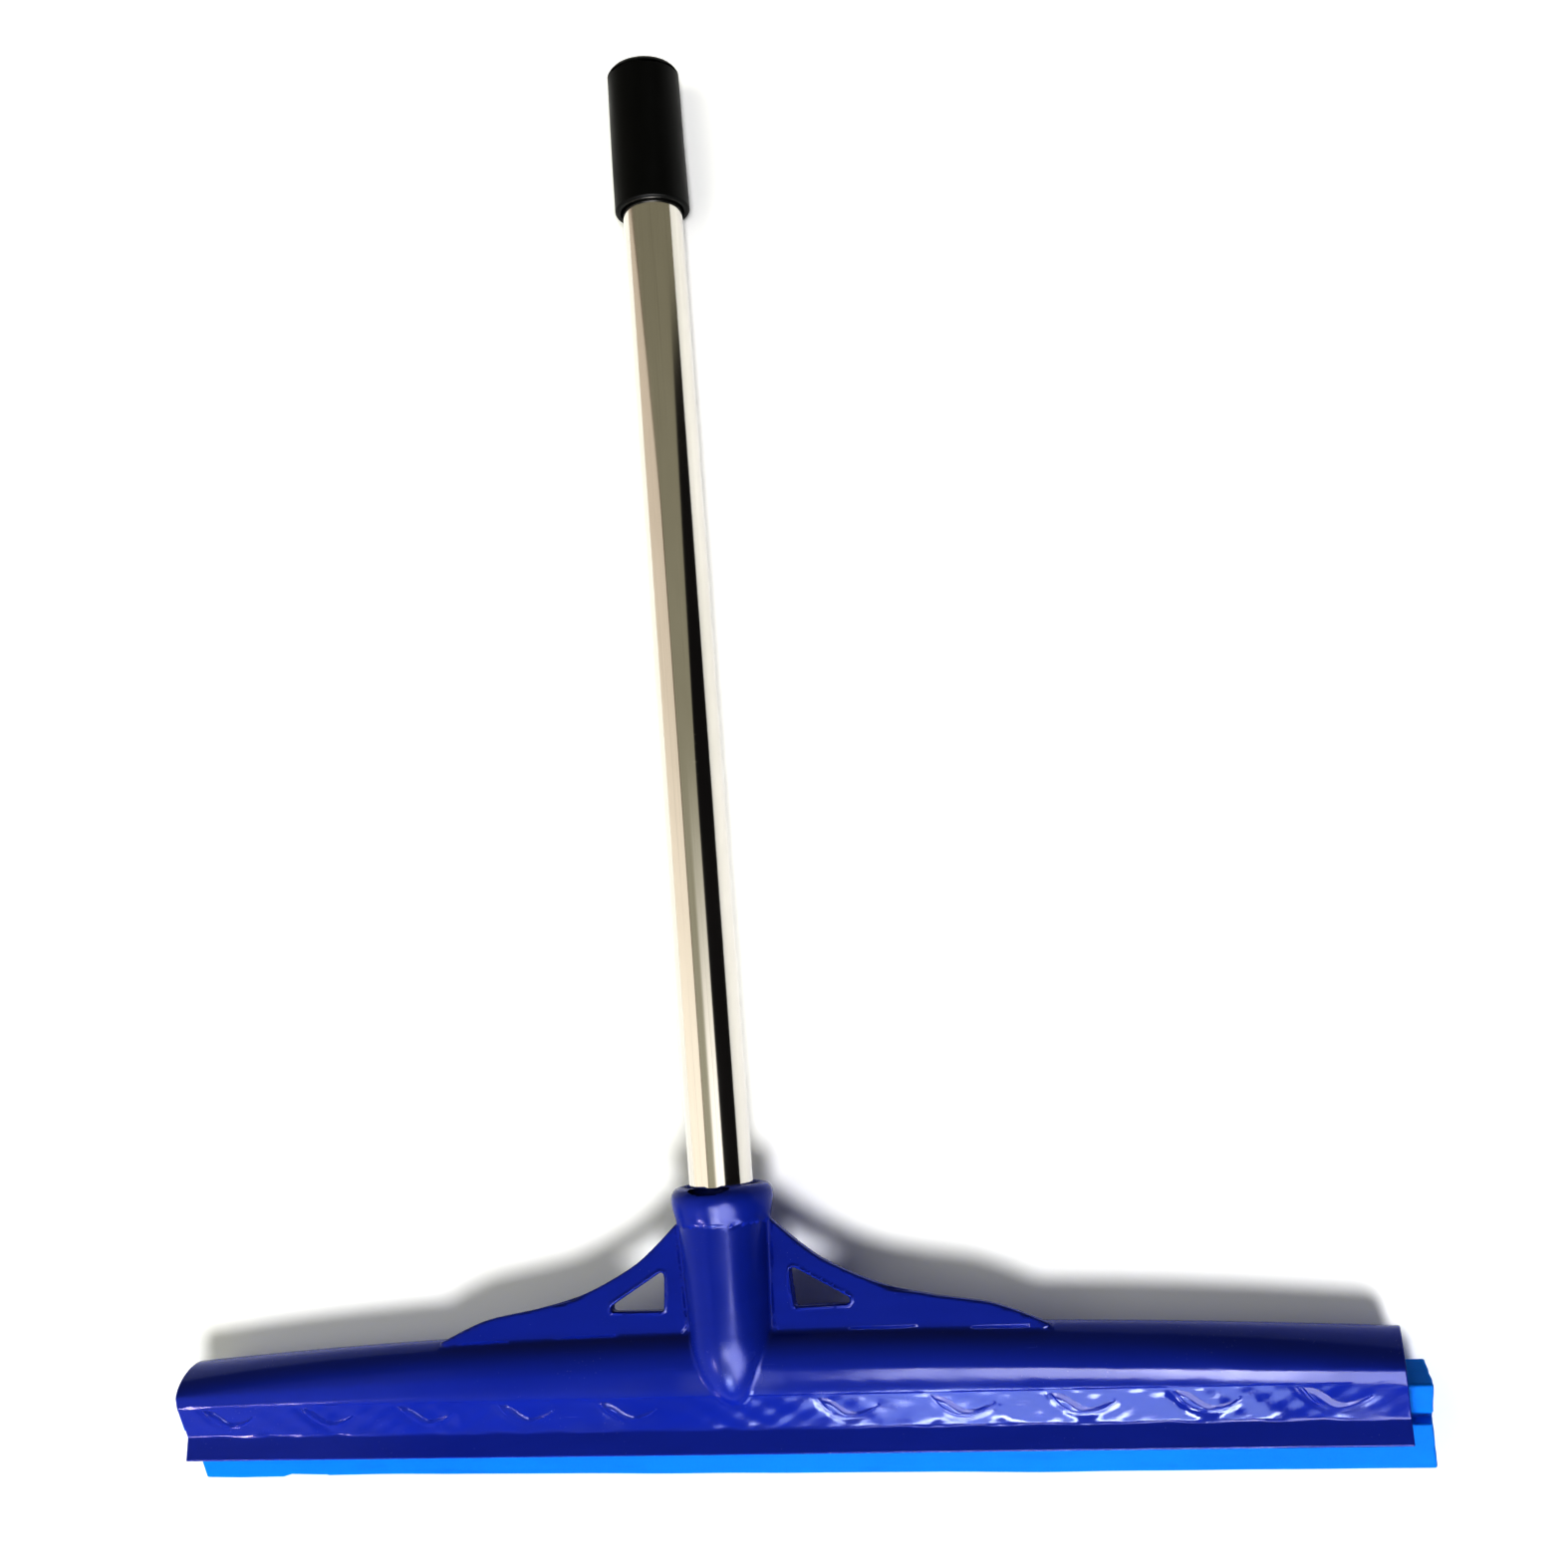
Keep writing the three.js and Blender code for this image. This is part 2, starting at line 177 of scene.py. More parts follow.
def polyline_distance(a, b, points):
    """Distance to a chain of points, and how far along the chain the nearest one lies, from 0 to 1."""
    best = np.full(a.shape, 1e9)
    share = np.zeros(a.shape)
    count = len(points) - 1
    for i in range(count):
        (ax, ay), (bx, by) = points[i], points[i + 1]
        dx, dy = bx - ax, by - ay
        t = np.clip(((a - ax) * dx + (b - ay) * dy) / (dx * dx + dy * dy), 0, 1)
        distance = np.hypot(a - ax - t * dx, b - ay - t * dy)
        nearer = distance < best
        best = np.where(nearer, distance, best)
        share = np.where(nearer, (i + t) / count, share)
    return best, share


def smooth_curve(points, count):
    """A Catmull-Rom curve through the points, as count + 1 of its own points."""
    p = np.array(points, dtype=float)
    p = np.vstack([2 * p[0] - p[1], p, 2 * p[-1] - p[-2]])
    spans = len(points) - 1
    u = np.linspace(0, spans, count + 1)
    i = np.minimum(u.astype(int), spans - 1)
    t = (u - i)[:, None]
    a, b, c, d = p[i], p[i + 1], p[i + 2], p[i + 3]
    square = (2 * a - 5 * b + 4 * c - d) * t**2
    cube = (3 * b - a - 3 * c + d) * t**3
    return 0.5 * (2 * b + (c - a) * t + square + cube)


# ---- The crescent relief on the front band ----

# Both edges run from the left tip to the right one, as (along the head from the middle, up).
CRESCENT_LOWER = (
    (-10.9, 12.8), (-9.6, 10.4), (-8.1, 8.1), (-5.8, 6.1), (-3.2, 5.0),
    (-0.5, 4.6), (2.4, 4.95), (5.0, 5.8), (7.5, 7.2), (10.0, 9.0),
)
CRESCENT_UPPER = (
    (-10.9, 12.8), (-8.6, 12.7), (-6.1, 11.7), (-4.1, 10.0), (-2.5, 8.3),
    (-0.7, 6.95), (1.6, 6.45), (4.4, 6.95), (7.1, 7.9), (10.0, 9.0),
)
CRESCENT_TIP = 10.9
CRESCENT_HEIGHT = 0.62
CRESCENT_FLANKS = (0.6, 2.4)
CRESCENT_GROOVE = 0.09
CRESCENT_HALO = 0.14

# Each crescent sits this far right of its place on the pitch. The middle one is not there.
CRESCENT_SHIFT = (0.3, 2.2, 2.4, 1.8, 1.0, 0.0, 0.8, 0.3, 0.0, 0.0, 0.0)

# The band that a crescent can shape, along the head from its middle and up.
CRESCENT_REACH = 14
CRESCENT_BAND = (0.5, 14.5)

crescent_lower = smooth_curve(CRESCENT_LOWER, 27)
crescent_upper = smooth_curve(CRESCENT_UPPER, 27)


def crescent_place(x):
    """Number of the nearest crescent, and the place along the head from its middle."""
    number = np.clip(np.round(x / PITCH), -LAST, LAST)
    return number, x - number * PITCH - np.array(CRESCENT_SHIFT)[number.astype(int) + LAST]


def crescent(x, up):
    """Height of the raised crescents over the band: steep below, sloping above, pointed at both ends."""
    number, local = crescent_place(x)
    height = np.zeros(x.shape)
    near = (np.abs(number) > 0) & (np.abs(local) < CRESCENT_REACH)
    near &= (up > CRESCENT_BAND[0]) & (up < CRESCENT_BAND[1])
    a, b = local[near], up[near]
    below = b - np.interp(a, *crescent_lower.T)
    above = np.interp(a, *crescent_upper.T) - b
    to_lower = polyline_distance(a, b, crescent_lower)[0]
    to_upper = polyline_distance(a, b, crescent_upper)[0]
    within = (below > 0) & (above > 0) & (np.abs(a) < CRESCENT_TIP)
    inside = np.where(within, 1, -1) * np.minimum(to_lower, to_upper)
    lower_flank = np.sin(np.clip((to_lower + 0.1) / CRESCENT_FLANKS[0], 0, 1) * math.pi / 2)
    upper_flank = np.sin(np.clip((to_upper + 0.1) / CRESCENT_FLANKS[1], 0, 1) * math.pi / 2)
    pillow = CRESCENT_HEIGHT * lower_flank * upper_flank * within
    groove = CRESCENT_GROOVE * np.exp(-((inside + 0.4) / 0.35) ** 2) * (to_lower < to_upper)
    halo = CRESCENT_HALO * np.exp(-((to_lower - 1.2) / 1.3) ** 2) * (below < 0)
    height[near] = pillow - groove - halo
    return height


# ---- The head moulding ----

def ridge_rise(x):
    """Height of the ridge above the crest, along the head."""
    height = RIDGE_CENTRE - (RIDGE_CENTRE - RIDGE_END) * (np.abs(x) / HALF_LENGTH) ** RIDGE_POWER
    return height - CREST


def band_waves(x, up):
    """The moulding's faint sinks and swells over the front band, deepest along the crease."""
    swell = 0.055 * np.sin(0.37 * x + 0.5 * up + 1.3 * np.sin(0.11 * x))
    swell = swell + 0.03 * np.sin(0.61 * x - 0.9 * up + 2)
    low = np.clip(4.5 - up, 0, 4.5) / 4.5
    sink = 0.2 * low ** 2 * (0.8 + 0.8 * np.sin(0.21 * x + 1.2 * np.sin(0.07 * x)))
    return (swell + sink) * np.clip((CREST - up) / 2, 0, 1) * np.clip(up + 1, 0, 1) - 0.06


def skirt(side, up):
    """The flared strip along the hood's lower edge."""
    length = math.hypot(SKIRT_FLARE, SKIRT_DROP)
    down = np.array((SKIRT_FLARE, -SKIRT_DROP)) / length
    run = (side - HALF_WIDTH) * down[0] + up * down[1]
    depth = -(side - HALF_WIDTH) * down[1] + up * down[0]
    middle = (length - SKIRT_OVERLAP) / 2
    half = SKIRT_THICKNESS / 2
    return rounded_box(run - middle, depth + half, middle + SKIRT_OVERLAP, half, SKIRT_CORNER)


def ledge(side, up):
    """The inward ledge that fits the insert's groove."""
    across_middle = (LEDGE_HALF + HALF_WIDTH) / 2
    up_middle = (LEDGE_TOP + LEDGE_BOTTOM) / 2
    half_across = (HALF_WIDTH - LEDGE_HALF) / 2
    half_up = (LEDGE_TOP - LEDGE_BOTTOM) / 2
    return rounded_box(side - across_middle, up - up_middle, half_across, half_up, LEDGE_CORNER)


def hood(x, up, out):
    """The arched hood with its facets and ribs, its skirt and its two ledges."""
    side = np.abs(out)
    rise = ridge_rise(x)
    above = np.maximum(up - CREST, 0)
    wall = side - HALF_WIDTH - (CREST_HALF - HALF_WIDTH) * up / CREST
    relief = np.where(out > 0, crescent(x, up) + band_waves(x, up), 0)
    outer = np.where(up > CREST, ellipse(side, above, CREST_HALF, rise), wall - relief)
    reach = np.hypot(CREST_HALF * math.cos(FACET_TURN), rise * math.sin(FACET_TURN))
    reach = reach - FACET_WIDTH**2 * reach**3 / (8 * CREST_HALF**2 * rise**2)
    facet = side * math.cos(FACET_TURN) + (up - CREST) * math.sin(FACET_TURN) - reach
    outer = soft_max(outer, facet, 0.3)
    arch = ellipse(side, above, BEAD_WAY_HALF, rise - WALL)
    inner = np.where(up > CREST, arch, side - BEAD_WAY_HALF)
    shell = np.maximum(np.maximum(outer, -inner), LEDGE_TOP - 0.3 - up)

    nearest_rib = np.clip(np.round(x / PITCH), -LAST, LAST) * PITCH
    within = np.maximum(outer + RIB_INSET, BEAD_WAY_TOP - up)
    shell = np.minimum(shell, np.maximum(np.abs(x - nearest_rib) - RIB_HALF, within))
    whole = soft_min(soft_min(shell, skirt(side, up), 0.5), ledge(side, up), 0.4)
    return soft_max(whole, np.abs(x) - HALF_LENGTH, 0.5)


def socket_profile():
    """Outer radius of the nose, socket and collar along the handle's axis."""
    rise = np.sin(np.linspace(0, math.pi / 2, 60))
    nose_along = NOSE_TIP + (NOSE_START - NOSE_TIP) * rise
    nose_radius = SOCKET_LOW * (1 - (1 - rise) ** 2) ** NOSE_POWER
    upper = smooth_curve(COLLAR_PROFILE, 80)
    return np.concatenate([nose_along, upper[:, 0]]), np.concatenate([nose_radius, upper[:, 1]])


socket_along, socket_radius = socket_profile()
socket_slope = np.gradient(socket_radius, socket_along)
web_curve = smooth_curve(WEB_EDGE, 80)[::-1]
web_slope = np.gradient(web_curve[:, 1], web_curve[:, 0])


def window_centres():
    """Centres of the window's corner arcs, as a closed chain."""
    centres = []
    for i in range(3):
        corner, before, after = (np.array(WINDOW[j % 3]) for j in (i, i + 2, i + 1))
        back = (before - corner) / np.linalg.norm(before - corner)
        ahead = (after - corner) / np.linalg.norm(after - corner)
        half = math.acos(back @ ahead) / 2
        middle = (back + ahead) / np.linalg.norm(back + ahead)
        centres.append(corner + middle * WINDOW_CORNER / math.sin(half))
    return np.array([*centres, centres[0]])


window_chain = window_centres()


def window_distance(x, s):
    """Distance to the rounded triangle of the window, from both of its mirrored places."""
    side = np.abs(x)
    plane = np.full(x.shape, -1e9)
    for (ax, ay), (bx, by) in zip(window_chain, window_chain[1:]):
        length = math.hypot(bx - ax, by - ay)
        plane = np.maximum(plane, ((side - ax) * (by - ay) - (s - ay) * (bx - ax)) / length)
    distance = polyline_distance(side, s, window_chain)[0]
    return np.where(plane < 0, -distance, distance) - WINDOW_CORNER


def web(x, s, w, margin):
    """The webs beside the socket. Their faces step back where the margin to the other walls runs out."""
    side = np.abs(x)
    top = np.interp(side, web_curve[:, 0], web_curve[:, 1])
    slope = np.interp(side, web_curve[:, 0], web_slope)
    edge = (s - top) / np.sqrt(1 + slope * slope)
    outline = np.maximum(np.maximum(edge, WEB_FOOT - s), side - WEB_REACH)
    panel = np.clip(margin / WEB_STEP + 0.5, 0, 1)
    half = WEB_HALF - WEB_STEP * (1 - panel * panel * (3 - 2 * panel))
    plate = soft_max(outline, np.abs(w) - half, 0.9)
    opening = window_distance(x, s)
    strip = np.abs(opening - RIM_WIDTH / 2) - RIM_WIDTH / 2
    rim = soft_max(strip, np.abs(w) - WEB_HALF - RIM_PROUD, 0.8)
    return soft_max(soft_min(plate, rim, 0.6), -opening, 0.4)


def socket_bore(x, s, w):
    """The socket's bore: a helical thread, and a plain mouth with a small chamfer above it."""
    radius = np.hypot(x, w)
    phase = (s - THREAD_PITCH * np.arctan2(w, x) / (2 * math.pi)) / THREAD_PITCH
    wave = np.clip(2.2 * np.abs(2 * (phase - np.floor(phase)) - 1) - 0.6, 0, 1)
    thread = THREAD_CREST + (THREAD_ROOT - THREAD_CREST) * wave
    chamfer = np.clip(s - (COLLAR_END - 0.5), 0, 1) * 0.6
    wall = np.where(s > THREAD_SEAT, MOUTH + chamfer, thread)
    return np.maximum(radius - wall, SOCKET_FLOOR - s)


def head_field(points):
    """Distance to the whole moulding from points in the head's frame."""
    x, up, out = points[..., 0], points[..., 1], points[..., 2]
    cos, sin = math.cos(LEAN), math.sin(LEAN)
    s = (up - AXIS_HEIGHT) * cos - out * sin
    w = (up - AXIS_HEIGHT) * sin + out * cos
    radius = np.hypot(x, w)
    turn = np.arctan2(w, x)
    slope = np.interp(s, socket_along, socket_slope)
    ripple = np.exp(-((s - COLLAR_START - 1.0 - 0.5 * np.sin(4 * turn)) / 1.1) ** 2)
    ripple = ripple * (0.12 * np.sin(9 * turn + 2) + 0.1 * np.sin(17 * turn))
    socket = (radius - ripple - np.interp(s, socket_along, socket_radius)) / np.sqrt(1 + slope * slope)
    socket = soft_max(np.maximum(socket, NOSE_TIP - s), s - COLLAR_END, 0.9)
    beam = hood(x, up, out)
    margin = soft_min(beam - 0.8, socket - 1.3, 3.2)
    webs = soft_min(socket, web(x, s, w, margin), 1.2)
    whole = soft_min(beam, webs, 1.2)
    bead_way = np.maximum(up - BEAD_WAY_TOP, LEDGE_TOP - up)
    bead_way = np.maximum(np.abs(out) - BEAD_WAY_HALF, bead_way)
    whole = np.maximum(whole, -bead_way)
    return soft_max(whole, -socket_bore(x, s, w), 0.6)


# ---- A mesh of quads from a field on a grid of lines ----

def lines(*spans):
    """Grid lines: each span is (start, end, step), and the last line closes it."""
    parts = []
    for start, end, step in spans:
        count = max(1, round((end - start) / step))
        parts.append(np.linspace(start, end, count, endpoint=False))
    return np.concatenate([*parts, [spans[-1][1]]])


def sample(field, xs, ys, zs):
    """The field on every crossing of the grid lines, a few rows at a time to save memory."""
    values = np.empty((len(xs), len(ys), len(zs)))
    rows = 12
    grid = np.empty((rows, len(ys), len(zs), 3))
    grid[..., 1] = ys[None, :, None]
    grid[..., 2] = zs[None, None, :]
    for start in range(0, len(xs), rows):
        part = xs[start:start + rows]
        grid[:len(part), ..., 0] = part[:, None, None]
        values[start:start + rows] = field(grid[:len(part)])
    return values


def surface_nets(field, xs, ys, zs):
    """One point in each cell that the surface crosses, and a quad for each grid line that it cuts."""
    values = sample(field, xs, ys, zs)
    inside = values < 0
    shape = tuple(n - 1 for n in values.shape)
    corners = [(i, j, k) for i in (0, 1) for j in (0, 1) for k in (0, 1)]
    count = np.zeros(shape, dtype=np.int8)
    for i, j, k in corners:
        count += inside[i:i + shape[0], j:j + shape[1], k:k + shape[2]]
    cells = np.argwhere((count > 0) & (count < 8))
    number = np.full(shape, -1, dtype=np.int64)
    number[tuple(cells.T)] = np.arange(len(cells))

    axes = (xs, ys, zs)
    total = np.zeros((len(cells), 3))
    hits = np.zeros(len(cells))
    for start in corners:
        for axis in range(3):
            if start[axis]:
                continue
            a = cells + start
            b = a.copy()
            b[:, axis] += 1
            fa, fb = values[tuple(a.T)], values[tuple(b.T)]
            crosses = (fa < 0) != (fb < 0)
            share = np.where(crosses, fa / np.where(crosses, fa - fb, 1), 0)
            pa = np.stack([axes[d][a[:, d]] for d in range(3)], axis=1)
            pb = np.stack([axes[d][b[:, d]] for d in range(3)], axis=1)
            total += np.where(crosses[:, None], pa + share[:, None] * (pb - pa), 0)
            hits += crosses
    points = total / hits[:, None]

    quads = []
    for axis in range(3):
        one, two = (axis + 1) % 3, (axis + 2) % 3
        size = list(values.shape)
        size[axis] -= 1
        low = [slice(1, -1)] * 3
        low[axis] = slice(0, size[axis])
        high = list(low)
        high[axis] = slice(1, size[axis] + 1)
        a, b = inside[tuple(low)], inside[tuple(high)]
        edges = np.argwhere(a != b)
        outward = a[tuple(edges.T)]
        edges[:, one] += 1
        edges[:, two] += 1
        ring = []
        for back_one, back_two in ((1, 1), (0, 1), (0, 0), (1, 0)):
            cell = edges.copy()
            cell[:, one] -= back_one
            cell[:, two] -= back_two
            ring.append(number[tuple(cell.T)])
        quad = np.stack(ring, axis=1)
        quad[~outward] = quad[~outward][:, ::-1]
        quads.append(quad)
    return points, np.concatenate(quads)


def gradient(field, points, step=0.02):
    """The field's slope at each point, by central differences."""
    slopes = []
    for axis in range(3):
        offset = np.zeros(3)
        offset[axis] = step
        slopes.append((field(points + offset) - field(points - offset)) / (2 * step))
    return np.stack(slopes, axis=-1)


def settle(field, points, reach=0.35, rounds=4):
    """Moves each point down the field's own slope until it lies on the surface."""
    for _ in range(rounds):
        slope = gradient(field, points)
        squared = np.maximum((slope * slope).sum(axis=-1), 1e-3)
        shift = np.clip(field(points) / np.sqrt(squared), -reach, reach)
        points = points - slope * (shift / np.sqrt(squared))[:, None]
    return points


def refine(points, faces, picked):
    """Splits each picked quad in four, and gives its neighbours the new points on their shared edges.

    The new quads come first in the returned faces.
    """
    fresh = []
    middles = {}
    base = len(points)

    def middle(a, b):
        key = (a, b) if a < b else (b, a)
        if key not in middles:
            middles[key] = base + len(fresh)
            fresh.append((points[a] + points[b]) / 2)
        return middles[key]

    made = []
    for index in picked:
        a, b, c, d = (int(v) for v in faces[index])
        ab, bc, cd, da = middle(a, b), middle(b, c), middle(c, d), middle(d, a)
        centre = base + len(fresh)
        fresh.append((points[a] + points[b] + points[c] + points[d]) / 4)
        made += [(a, ab, centre, da), (ab, b, bc, centre), (centre, bc, c, cd), (da, centre, cd, d)]
    split = set(int(v) for v in picked)
    touched = set(v for pair in middles for v in pair)
    for index, face in enumerate(faces if isinstance(faces, list) else faces.tolist()):
        if index in split:
            continue
        if touched.isdisjoint(face):
            made.append(tuple(face))
            continue
        loop = []
        for a, b in zip(face, [*face[1:], face[0]]):
            loop.append(a)
            extra = middles.get((a, b) if a < b else (b, a))
            if extra is not None:
                loop.append(extra)
        made.append(tuple(loop))
    return np.vstack([points, np.array(fresh)]), made


def head_lines():
    """Grid lines in the head's frame, close together where its shape is fine."""
    windows_end = 56
    half_x = [*lines((0, 19, 1.0), (19, 24, 0.8), (24, 52, 1.0), (52, windows_end, 2.0))[:-1]]
    for number in range(1, LAST + 1):
        left, right = number * PITCH - CRESCENT_REACH, number * PITCH + CRESCENT_REACH
        if right > windows_end:
            beside = (right, left + PITCH, 3.3)
            half_x += [*lines((max(windows_end, left), right, 1.9), beside)[:-1]]
    half_x = [v for v in half_x if v < HALF_LENGTH - 1]
    half_x += [HALF_LENGTH + v for v in (-1, -0.5, -0.1, 0.3, 0.8)]
    xs = np.array([-v for v in half_x[:0:-1]] + half_x)
    ups = lines((-9.3, -4.2, 0.5), (-4.2, -0.9, 0.66), (-0.9, 0.9, 0.3), (0.9, 13.2, 1.0),
                (13.2, 15.4, 0.44), (15.4, 34, 1.1), (34, 84, 1.0))
    outs = lines((-40, -18, 0.95), (-18, -11.6, 0.6), (-11.6, -4.4, 0.9), (-4.4, 4.4, 1.1),
                 (4.4, 11.6, 0.9), (11.6, 18.2, 0.6), (18.2, 19.4, 0.6))
    return xs, ups, outs


def near_crescent(centres, reach):
    """Which of these places are on the front band and within reach of a crescent's edges."""
    number, local = crescent_place(centres[:, 0])
    up, out = centres[:, 1], centres[:, 2]
    found = (number != 0) & (out > HALF_WIDTH - 1.1) & (up > 1.5) & (up < CREST + 1)
    to_lower = polyline_distance(local[found], up[found], crescent_lower)[0]
    to_upper = polyline_distance(local[found], up[found], crescent_upper)[0]
    found[found] = np.minimum(to_lower, to_upper) < reach
    return np.nonzero(found)[0]


def smooth_normals(field, points):
    slope = gradient(field, points)
    return slope / np.linalg.norm(slope, axis=1)[:, None]


def finish_piece(piece, node, body):
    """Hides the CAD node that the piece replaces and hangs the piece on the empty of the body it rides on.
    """
    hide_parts(node)
    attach(piece, body)
    return piece


def build_head():
    """The head moulding, with its quads split finer and finer towards the crescents' edges."""
    points, quads = surface_nets(head_field, *head_lines())
    points = settle(head_field, points)
    faces = quads
    for reach in ((3.2, 1.5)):
        picked = near_crescent(points[quads].mean(axis=1), reach)
        points, faces = refine(points, faces, picked)
        points = settle(head_field, points, rounds=3)
        quads = np.array(faces[:4 * len(picked)])
    head = make_mesh("head", points, faces, HEAD_TO_ROW, smooth_normals(head_field, points))
    return finish_piece(head, "head_moulding", "head")


# ---- The foam insert ----

INSERT_LEFT = -229.5
INSERT_RIGHT = 234.2
BEAD_HALF = 9.0
BEAD_TOP = 10.0
BEAD_BOTTOM = -1.2
GROOVE_HALF = 5.0
GROOVE_BOTTOM = -5.1
LIP_HALF = 9.0
SLIT_TOP = -8.0
SLIT_HALF = 1.0

# How far down the lips reach along the insert, with the notch near the left end.
LIP_ENDS = (
    (-230, -21.2), (-210, -21.6), (-192, -21.3), (-188, -20.1), (-172.6, -20.5), (-172, -20.8),
    (-130, -20.9), (0, -21.7), (110, -22.35), (200, -22.35), (234, -22.0),
)


def insert_field(points):
    """Distance to the insert: its section with slightly wavy faces, between two hand-cut ends."""
    x, up, out = points[..., 0], points[..., 1], points[..., 2]
    side = np.abs(out)
    wander = 0.12 * np.sin(x / 17.0 + 1.1) + 0.1 * np.sin(x / 7.3) + 0.08 * np.sin(x / 41.0 + out / 6)
    end = np.interp(x, *np.array(LIP_ENDS).T) + 0.08 * np.sin(x / 23.0) + 0.07 * np.sin(x / 11.0 + 2)
    sunk = up + 0.15 * (BEAD_HALF - out)
    bead_middle, bead_reach = (BEAD_TOP + BEAD_BOTTOM) / 2, (BEAD_TOP - BEAD_BOTTOM) / 2
    bead = rounded_box(side, sunk - bead_middle, BEAD_HALF - 0.05, bead_reach, 1.3)
    neck = np.maximum(side - GROOVE_HALF - 0.2 * wander, np.maximum(up - 1, -8 - up))
    lip_middle, lip_reach = (GROOVE_BOTTOM + end) / 2, (GROOVE_BOTTOM - end) / 2
    lips = rounded_box(side, up - lip_middle, LIP_HALF - 0.25 + wander * 0.6, lip_reach, 0.55)
    opened = 0.35 + 0.65 * np.clip((SLIT_TOP - up) / 12, 0, 1)
    slit = np.maximum(side - SLIT_HALF * opened, up - SLIT_TOP)
    section = soft_min(soft_min(bead, neck, 0.7), lips, 0.7)
    section = soft_max(section, -slit, 0.5)
    bead_part = np.clip((up + 6) / 16, 0, 1)
    right = x - (INSERT_RIGHT - 1.75) - bead_part * (1.55 - 0.09 * (BEAD_HALF - out))
    right = right + 0.1 * np.sin(out * 0.9 + 1) + 0.08 * np.sin(up * 0.7)
    left = INSERT_LEFT + 3.5 - x - 3.35 * np.clip((up + 4) / 5, 0, 1) + 0.1 * np.sin(out * 0.7)
    return soft_max(section, np.maximum(right, left), 0.9)


def build_insert():
    """The foam blade, with grid lines close together at its ends, at the notch and round its edges."""
    xs = lines((-230.4, -224, 0.4), (-224, -194, 2.0), (-194, -186, 0.5), (-186, -170, 0.8),
               (-170, 226, 3.6), (226, 235, 0.45))
    ups = lines((-23, -19.8, 0.35), (-19.8, -9, 1.4), (-9, -0.2, 0.5), (-0.2, 8.2, 1.4),
                (8.2, 10.6, 0.35))
    outs = lines((-10, -7.4, 0.4), (-7.4, -2, 0.8), (-2, 2, 0.4), (2, 7.4, 0.8), (7.4, 10, 0.4))
    points, quads = surface_nets(insert_field, xs, ups, outs)
    points = settle(insert_field, points)
    normals = smooth_normals(insert_field, points)
    insert = make_mesh("insert", points, quads.tolist(), HEAD_TO_ROW, normals)
    finish_piece(insert, "foam_insert", "insert")
    return insert


# ---- The handle's turned pieces, by radius and place along the handle's axis ----

def fillet_profile(corners, closed, steps=5):
    """A profile through (radius, place, fillet) corners, with the outward normal at each of its points."""
    def unit(v):
        return v / np.linalg.norm(v)

    def outward(way):
        return np.array((way[1], -way[0]))

    places = [np.array(c[:2], dtype=float) for c in corners]
    count = len(corners)
    points, normals = [], []
    for i, place in enumerate(places):
        ahead = unit(places[(i + 1) % count] - place) if closed or i < count - 1 else None
        behind = unit(place - places[i - 1]) if closed or i else None
        if ahead is None or behind is None:
            points.append(place)
            normals.append(outward(behind if ahead is None else ahead))
            continue
        n0, n1 = outward(behind), outward(ahead)
        turn = math.acos(float(np.clip(behind @ ahead, -1, 1)))
        if turn < 0.03:
            points.append(place)
            normals.append(unit(n0 + n1))
            continue
        side = math.copysign(1, behind[0] * ahead[1] - behind[1] * ahead[0])
        radius = corners[i][2] * side
        centre = place - behind * abs(radius) * math.tan(turn / 2) - n0 * radius
        arc = max(2, round(steps * turn / 1.57))
        for k in range(arc + 1):
            mix = unit(n0 * math.sin((1 - k / arc) * turn) + n1 * math.sin(k / arc * turn))
            points.append(centre + mix * radius)
            normals.append(mix)
    return np.array(points), np.array(normals)


def turned(name, corners, segments, closed=False, waver=None):
    """A solid of revolution about the handle's axis, from a profile between two poles or from a ring."""
    profile, profile_normals = fillet_profile(corners, closed)
    angles = np.arange(segments) * 2 * math.pi / segments
    cos, sin = np.cos(angles), np.sin(angles)
    points, normals, rows = [], [], []
    for (radius, place), (out, up) in zip(profile, profile_normals):
        if radius < 1e-6:
            rows.append([len(points)] * segments)
            points.append((0, place, 0))
            normals.append((0, math.copysign(1, up), 0))
            continue
        wide = radius + (waver(angles, place, radius) if waver else 0)
        rows.append(range(len(points), len(points) + segments))
        points.extend(np.stack([wide * cos, np.full(segments, place), wide * sin], axis=1))
        normals.extend(np.stack([out * cos, np.full(segments, up), out * sin], axis=1))
    faces = []
    pairs = list(zip(rows, rows[1:] + rows[:1]))
    for low, high in pairs if closed else pairs[:-1]:
        for j in range(segments):
            k = (j + 1) % segments
            loop = [low[j], high[j], high[k], low[k]]
            faces.append(tuple(dict.fromkeys(loop)))
    return make_mesh(name, np.array(points), faces, HANDLE_TO_ROW, np.array(normals))


TUBE_RADIUS = 11.5
TUBE_WALL = 0.8
TUBE_TOP = 476.5
GAP = 0.3
THREAD_START = -6.0
FLANGE_THICKNESS = 2.7
PLUG_LENGTH = 34.0
FERRULE_CREST = 10.5
FERRULE_ROOT = 9.4
FERRULE_CORE = 6.5
GRIP_START = 421.2
GRIP_END = 480.0
GRIP_RADIUS_START = 14.5
GRIP_RADIUS_END = 13.9
GRIP_EDGE = 3.5
GRIP_MOUTH = 12.3


